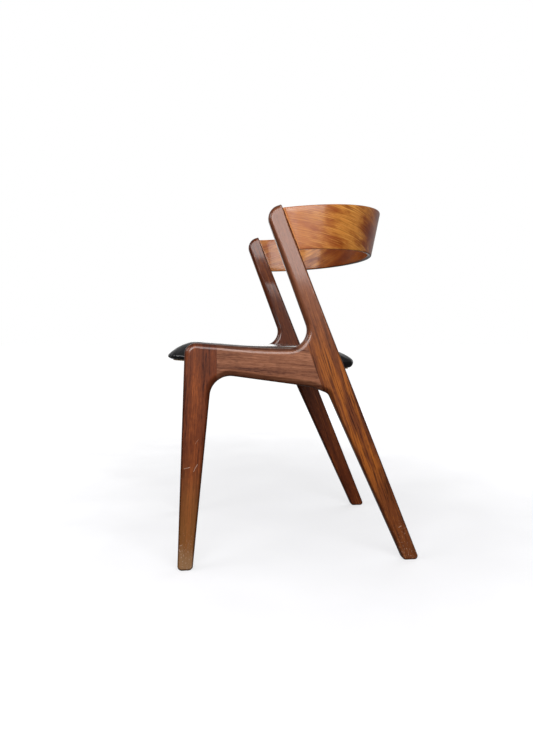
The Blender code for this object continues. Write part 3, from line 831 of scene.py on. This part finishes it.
def timber_material(name, way, seed, dark, mid, light, tan, flame=0.0, upper=0.0, marks=()):
    """Oiled teak: fine streaks and mottling over broad bands, orange flames, fibres and pores."""
    n = new_material(name)
    grain, where = along_grain(n, way, seed)
    wander = n.noise(n.scale(grain, GRAIN["wander"]), detail=2.0)
    bent = n.vector("ADD", grain, n.join(Y=n.swing(wander, GRAIN_WANDER)))
    streaks = n.noise(n.scale(bent, GRAIN["streaks"]), detail=4.0, rough=0.65)
    bands = n.noise(n.scale(bent, GRAIN["bands"]), detail=3.0, rough=0.55)
    mottle = n.noise(n.scale(bent, GRAIN["mottle"]), detail=3.0, rough=0.6)
    fibres = n.noise(n.scale(bent, GRAIN["fibres"]), detail=3.0, rough=0.6)
    pores = n.span(n.noise(n.scale(bent, GRAIN["pores"]), detail=1.0), 0.60, 0.70)
    tone = n.math("ADD", n.math("MULTIPLY", streaks, STREAK_SHARE), n.math("MULTIPLY", bands, BAND_SHARE))
    tone = n.math("ADD", tone, n.math("MULTIPLY", mottle, MOTTLE_SHARE))
    colour = n.mix(n.span(tone, 0.38, 0.50), dark, mid)
    colour = n.mix(n.span(tone, 0.50, 0.61), colour, light)
    if flame:
        height = n.split(where)[2]
        reach = n.math("MULTIPLY", n.span(height, *FLAME_FROM), n.span(height, *FLAME_TO))
        lick = n.noise(n.scale(bent, GRAIN["lick"]), detail=3.0, rough=0.55)
        share = n.math("MULTIPLY", n.span(lick, 0.42, 0.60, 0.0, flame), reach)
        colour = n.mix(share, colour, FLAME_TONE)
        colour = n.mix(n.span(streaks, 0.47, 0.38, 0.0, 0.80), colour, dark)
        colour = n.mix(n.span(height, *UPPER_FROM, 0.0, upper), colour, UPPER_TONE)
    colour = n.mix(n.span(fibres, 0.35, 0.70, 0.0, 0.30), colour, dark)
    colour = n.mix(n.math("MULTIPLY", pores, 0.5), colour, PORE_TONE)
    if tan:
        colour = worn_feet(n, colour, where, tan)
    # Painted shade on the edges and undersides of the frame.
    colour = n.mix(painted_edge_shade(n), colour, EDGE_SHADE_TONE)
    for start, end, width in marks:
        colour = n.mix(n.math("MULTIPLY", stroke(n, where, start, end, width), 0.5), colour, SCRATCH_TONE)
    shine = n.math("ADD", 0.42, n.swing(fibres, 0.16))
    normal = n.bump(n.math("ADD", fibres, n.math("MULTIPLY", pores, -0.8)), 0.0001, 0.5)
    normal = n.bump(n.noise(where, 28.0, detail=1.0), 0.0005, 0.3, normal)
    return n.finish(Base_Color=colour, Roughness=shine, Normal=normal, IOR=1.5,
                    Specular_IOR_Level=WOOD_SPECULAR, Coat_Weight=TIMBER_COAT, Coat_Roughness=TIMBER_COAT_ROUGH)


# How fine each part of the veneer's figure is: along its slant, across it, and through the band.
FIGURE = {
    "cloud": (13.0, 34.0, 1.0),
    "smoke": (46.0, 70.0, 1.0),
    "streaks": (16.0, 340.0, 40.0),
    "flecks": (14.0, 480.0, 100.0),
    "fibres": (60.0, 1300.0, 300.0),
}
VENEER_SLANT = math.radians(17)
GOLD_FROM = (0.14, 0.26)   # distance along the band from its middle, where the wood turns golden; the deep middle is partly painted shade, as it faces away from the key
DEEP_TONES = rgb(118, 44, 2), rgb(164, 80, 8)
PALE_TONES = rgb(156, 80, 30), rgb(208, 136, 60)
SHADED_TONE, SMOKE_TONE, STREAK_TONE = rgb(84, 32, 2), rgb(112, 48, 8), rgb(112, 50, 8)
FLECK_TONE, FIBRE_TONE = rgb(232, 166, 84), rgb(106, 48, 14)
PLIES, PLY_TONES = 5, (rgb(96, 52, 26), rgb(150, 98, 54))
FACE_PLY = (0.0009, 0.0013)   # how deep the face veneer reaches at the band's edges
END_SHEEN_TONE, END_GRAIN_TONE = rgb(160, 92, 72), rgb(226, 150, 92)
VENEER_COAT, VENEER_COAT_ROUGH = 0.55, 0.18


def veneer_material(name, length):
    """Golden teak veneer: clouds of light and dark, streaks falling across it, plies on its edges."""
    n = new_material(name)
    lay = n.add("ShaderNodeAttribute", attribute_name="lay").outputs["Vector"]
    along, _, depth = n.split(lay)
    turn = n.turn(lay, (0, 0, VENEER_SLANT))
    cloud = n.noise(n.scale(turn, FIGURE["cloud"]), detail=4.0, rough=0.6, distort=0.2)
    smoke = n.noise(n.scale(turn, FIGURE["smoke"]), detail=4.0, rough=0.65, distort=0.2)
    streaks = n.noise(n.scale(turn, FIGURE["streaks"]), detail=4.0, rough=0.62, distort=0.1)
    flecks = n.noise(n.scale(turn, FIGURE["flecks"]), detail=2.0)
    fibres = n.noise(n.scale(turn, FIGURE["fibres"]), detail=3.0)
    # Deep in the band's middle and golden towards its ends: partly the veneer's own tone, partly painted shade
    # on the middle. On the inside the gold reaches further in, as a painted highlight near the far post.
    from_middle = n.math("ABSOLUTE", n.math("SUBTRACT", along, length / 2))
    inside = n.span(depth, 0.0020, 0.0080)
    painted_highlight_pull = n.math("MULTIPLY", inside, -0.04)
    gold = n.span(n.math("ADD", n.math("ADD", from_middle, n.swing(cloud, 0.16)), painted_highlight_pull), *GOLD_FROM)
    deep = n.mix(n.span(cloud, 0.30, 0.66), *DEEP_TONES)
    pale = n.mix(n.span(cloud, 0.34, 0.60), *PALE_TONES)
    colour = n.mix(gold, deep, pale)
    shaded = n.math("MULTIPLY", inside, n.span(gold, 0.0, 1.0, 0.35, 0.0))
    colour = n.mix(shaded, colour, SHADED_TONE)
    colour = n.mix(n.span(smoke, 0.48, 0.74, 0.0, 0.20), colour, SMOKE_TONE)
    colour = n.mix(n.span(streaks, 0.50, 0.36, 0.0, 0.50), colour, STREAK_TONE)
    bright = n.math("MULTIPLY", n.span(flecks, 0.54, 0.68, 0.0, 0.80), n.span(gold, 0.0, 1.0, 0.05, 1.0))
    colour = n.mix(bright, colour, FLECK_TONE)
    colour = n.mix(n.span(fibres, 0.40, 0.75, 0.0, 0.20), colour, FIBRE_TONE)
    plies = n.math("SINE", n.math("MULTIPLY", depth, 2 * math.pi * PLIES / BAND_T))
    edge = n.math("MULTIPLY", n.span(depth, *FACE_PLY), n.span(depth, *(BAND_T - d for d in FACE_PLY)))
    colour = n.mix(edge, colour, n.mix(n.span(plies, -0.3, 0.3), *PLY_TONES))
    to_end = n.math("MINIMUM", along, n.math("SUBTRACT", length, along))
    # Pinkish towards the band's ends: a painted sheen, the haze of the key's reflection.
    colour = n.mix(n.span(to_end, 0.020, 0.110, 0.42, 0.0), colour, END_SHEEN_TONE)
    colour = n.mix(n.span(to_end, 0.0014, 0.0026, 0.85, 0.0), colour, END_GRAIN_TONE)
    shine = n.math("ADD", 0.40, n.swing(fibres, 0.16))
    return n.finish(Base_Color=colour, Roughness=shine, Normal=n.bump(fibres, 0.0001, 0.5), IOR=1.5,
                    Specular_IOR_Level=WOOD_SPECULAR, Coat_Weight=VENEER_COAT, Coat_Roughness=VENEER_COAT_ROUGH)


SEAT_RING_AT, SEAT_RING_R = (0.205, -0.2370, 0.4430), 0.0040
LEATHER_TONES, RING_HIGHLIGHT_TONE = (rgb(14, 14, 16), rgb(26, 25, 26)), rgb(84, 84, 86)


def leather_material(name):
    """Black grained leather under a polished finish, with one pressed ring at the front left, coloured pale
    grey as a painted highlight.
    """
    n = new_material(name)
    where = n.where()
    cells = n.add("ShaderNodeTexVoronoi", {"Vector": where, "Scale": 620.0}, feature="DISTANCE_TO_EDGE")
    broad = n.noise(where, 60.0, detail=4.0)
    worn = n.noise(where, 9.0, detail=3.0)
    off_ring = n.math("ABSOLUTE", n.math("SUBTRACT", n.distance(where, SEAT_RING_AT), SEAT_RING_R))
    ring = n.span(off_ring, 0.0006, 0.0016, 1.0, 0.0)
    colour = n.mix(n.span(worn, 0.35, 0.75), *LEATHER_TONES)
    # The ring's pale grey is a painted highlight.
    colour = n.mix(ring, colour, RING_HIGHLIGHT_TONE)
    shine = n.math("ADD", 0.34, n.math("MULTIPLY", broad, 0.18))
    normal = n.bump(n.span(cells.outputs[0], 0.0, 0.16), 0.00012, 0.5)
    normal = n.bump(n.math("ADD", broad, ring), 0.0005, 0.25, normal)
    return n.finish(Base_Color=colour, Roughness=shine, Normal=normal, IOR=1.5, Specular_IOR_Level=0.12,
                    Coat_Weight=1.0, Coat_Roughness=0.11, Coat_IOR=1.6)


def plain_wood(name, base, dark, scales, rough=0.55):
    n = new_material(name)
    lines = n.noise(n.scale(n.where(), scales), detail=4.0, rough=0.6)
    colour = n.mix(n.span(lines, 0.35, 0.68), dark, base)
    return n.finish(Base_Color=colour, Roughness=n.span(lines, 0.2, 0.8, rough - 0.08, rough + 0.08),
                    Normal=n.bump(lines, 0.0002, 0.5))


def cloth_material(name, base, dark, threads=900):
    n = new_material(name)
    where = n.where()
    x, y, _ = n.split(where)
    warp, weft = (n.math("SINE", n.math("MULTIPLY", way, 2 * math.pi * threads)) for way in (x, y))
    weave = n.math("MULTIPLY", n.math("ADD", n.math("MULTIPLY", warp, weft), 1.0), 0.5)
    soil = n.noise(where, 24.0, detail=3.0)
    colour = n.mix(n.math("MULTIPLY", n.math("ADD", weave, soil), 0.5), dark, base)
    return n.finish(Base_Color=colour, Roughness=n.span(soil, 0.2, 0.8, 0.82, 0.95),
                    Normal=n.bump(weave, 0.0003, 0.6))


def foam_material(name):
    n = new_material(name)
    where = n.where()
    cells = n.add("ShaderNodeTexVoronoi", {"Vector": where, "Scale": 900.0}).outputs["Distance"]
    colour = n.mix(n.noise(where, 14.0), rgb(214, 196, 140), rgb(226, 212, 166))
    return n.finish(Base_Color=colour, Roughness=n.span(cells, 0.0, 0.6, 0.85, 0.95),
                    Normal=n.bump(cells, 0.0004, 0.7))


def steel_material(name):
    n = new_material(name)
    brush = n.noise(n.scale(n.where(), (400.0, 400.0, 2400.0)), detail=2.0)
    colour = n.mix(brush, rgb(168, 168, 170), rgb(204, 204, 202))
    return n.finish(Base_Color=colour, Metallic=1.0, Roughness=n.span(brush, 0.2, 0.8, 0.26, 0.42),
                    Normal=n.bump(brush, 0.00005, 0.5))


# ---------------------------------------------------------------- build
leg_keep, leg_drop, ahead, behind = joint_prisms()
for side, word in SIDES:
    blank = frame_blank(side)
    cuts = {"front_leg": [leg_keep], "side_rail": [leg_drop, behind], "back_post": [ahead]}
    for i, (piece, cutters) in enumerate(cuts.items()):
        tones = dict(FRAME_TONES[piece], marks=LEFT_MARKS[piece] if side > 0 else ())
        # The right frame's tones are made darker: partly painted shade, partly a darker plank.
        if side < 0:
            tones.update({key: darker(tones[key]) for key in ("dark", "mid", "light")})
            tones.update(flame=0.0, upper=0.0, tan=0.0)
        mat = timber_material(f"teak_{piece}_{word}", seed=0.31 * i + 1.7 * side, **tones)
        made = timber(f"{piece}_{word}_timber", blank, cutters, mat)
        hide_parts(f"{piece}_{word}")
for cutter in (leg_keep, leg_drop, ahead, behind):
    bpy.data.objects.remove(cutter, do_unlink=True)

band, band_length = backrest_band()
paint(band, veneer_material("teak_veneer", band_length))
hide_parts("back_band")
leather_seat(leather_material("black_leather_grain"))
foam_core(foam_material("foam_cells"))

# Pieces that keep the CAD's shape: a word in their names, and their material.
CARRIED = {
    "cross_rail": plain_wood("rail_timber", rgb(150, 100, 62), rgb(112, 68, 40), (4.0, 300.0, 300.0)),
    "dowel": plain_wood("beech", rgb(206, 168, 122), rgb(182, 140, 96), (60.0, 60.0, 300.0), 0.6),
    "seat_board": plain_wood("birch_ply", rgb(204, 170, 120), rgb(176, 138, 92), (6.0, 260.0, 500.0), 0.6),
    "dust_cover": cloth_material("dust_cloth_weave", rgb(188, 160, 122), rgb(150, 122, 88)),
    "seat_screw": steel_material("zinc_steel"),
}
for name, obj in NODES.items():
    for key, mat in CARRIED.items():
        if key in name:
            paint(obj, mat)
            soften(obj, CARRIED_SHARP)


# ---------------------------------------------------------------- studio
FLOOR_HALF = 30.0
FLOOR_TONE = (164, 164, 168)
# Painted shadow: the floor's own glow is dimmer in a pool round this middle.
FLOOR_MIDDLE = (-0.10, 0.10, 0.0)
FLOOR_STRETCH = (0.55, 1.0, 1.0)   # the painted shadow pool is longer along x
FLOOR_FADE = (0.3, 1.9)      # distance over which the floor turns plain white
FLOOR_GLOW = (0.58, 0.945)   # its own light near the chair, dimmer there as a painted shadow, and further out
WHITE = (1, 1, 1, 1)
AMBIENT = 0.11
# The backdrop as a light: how far round it starts and ends, and its level there.
BACKDROP_EDGES = ((-0.35, -0.85), (-0.90, -0.98))
BACKDROP = (0.35, 1.3)
HORIZON = (-0.10, 0.01)
BELOW = 0.20                 # what is left of that light below the horizon
# Lamps: place, what they face, width and height, radiance, and whether a glossy surface shows them.
LAMPS = {
    "key": ((2.65, -0.02, 1.40), (0.0, 0.0, 0.45), (3.0, 1.25), 6.5, True),
    "strip": ((2.40, -0.72, 0.98), (0.0, 0.05, 0.62), (0.55, 0.75), 4.0, True),
    "side": ((0.92, -2.00, 1.58), (-0.2, 0.13, 0.70), (1.3, 0.9), 4.2, True),
    "rear": ((-2.00, 2.10, 1.50), (0.0, 0.05, 0.50), (2.6, 1.8), 2.5, False),
    "front": ((-0.20, -2.60, 1.30), (0.0, 0.05, 0.50), (2.6, 1.8), 1.2, False),
    "top": ((0.0, 0.0, 2.6), (0, 0, 0), (1.6, 1.6), 0.3, True),
}
CAMERA_AT = (1.6375, -0.2176, 0.4868)
CAMERA_YAW, CAMERA_PITCH = math.radians(8.318), math.radians(-2.877)
CAMERA_LENS, CAMERA_SENSOR = 32.592, 36.0
CAMERA_SHIFT = (-0.03016, -0.00536)


def floor():
    """A white floor that takes real shadows from the lamps and a painted shadow, a pool of dimmer glow near the
    chair, and is plain white further out.
    """
    n = new_material("studio_floor")
    where = n.where()
    reach = n.distance(n.scale(where, FLOOR_STRETCH), FLOOR_MIDDLE)
    pool_wobble = n.noise(where, 4.0, detail=3.0)
    # Painted shadow: the floor glows less near the chair.
    pale = n.span(n.math("ADD", reach, n.math("MULTIPLY", pool_wobble, 0.5)), *FLOOR_FADE)
    glow = n.mix(pale, *((level, level, level, 1) for level in FLOOR_GLOW))
    half = FLOOR_HALF
    obj = add_object("studio_floor", [(-half, -half, 0), (half, -half, 0), (half, half, 0), (-half, half, 0)],
                     [(0, 1, 2, 3)])
    paint(obj, n.finish(Base_Color=rgb(*FLOOR_TONE), Roughness=0.8, Emission_Color=glow, Emission_Strength=1.0))
    obj.visible_glossy = obj.visible_diffuse = False


def softbox(name, at, target, size, radiance, in_gloss):
    data = bpy.data.lights.new(name, "AREA")
    data.shape, data.size, data.size_y = "RECTANGLE", size[0], size[1]
    data.energy = radiance * math.pi * size[0] * size[1]
    obj = bpy.data.objects.new(name, data)
    obj.location = at
    obj.rotation_euler = (Vector(target) - Vector(at)).to_track_quat("-Z", "Y").to_euler()
    obj.visible_glossy = in_gloss
    shown.objects.link(obj)


def world():
    """White paper all round to look at, but dim as a light, and brighter behind the chair."""
    n = Nodes(bpy.data.worlds.new("studio_white"))
    seen = n.add("ShaderNodeLightPath").outputs["Is Camera Ray"]
    x, _, z = n.split(n.where("Generated"))
    light = AMBIENT
    for (start, end), level in zip(BACKDROP_EDGES, BACKDROP):
        light = n.span(x, start, end, light, level)
    lit = n.math("MULTIPLY", light, n.span(z, *HORIZON, BELOW, 1.0))
    strength = n.add("ShaderNodeMix", {0: seen, 2: lit, 3: 1.0}).outputs[0]
    bpy.context.scene.world = n.finish(Color=WHITE, Strength=strength)


def view_camera():
    """The photograph's view."""
    data = bpy.data.cameras.new("view")
    data.lens, data.sensor_width = CAMERA_LENS, CAMERA_SENSOR
    data.shift_x, data.shift_y = CAMERA_SHIFT
    obj = bpy.data.objects.new("view", data)
    shown.objects.link(obj)
    level = math.cos(CAMERA_PITCH)
    look = Vector((-math.cos(CAMERA_YAW) * level, math.sin(CAMERA_YAW) * level, math.sin(CAMERA_PITCH)))
    obj.location = CAMERA_AT
    obj.rotation_euler = look.to_track_quat("-Z", "Y").to_euler()
    bpy.context.scene.camera = obj


floor()
world()
for name, lamp in LAMPS.items():
    softbox(name, *lamp)
view_camera()
bpy.context.scene.view_settings.view_transform = "Standard"
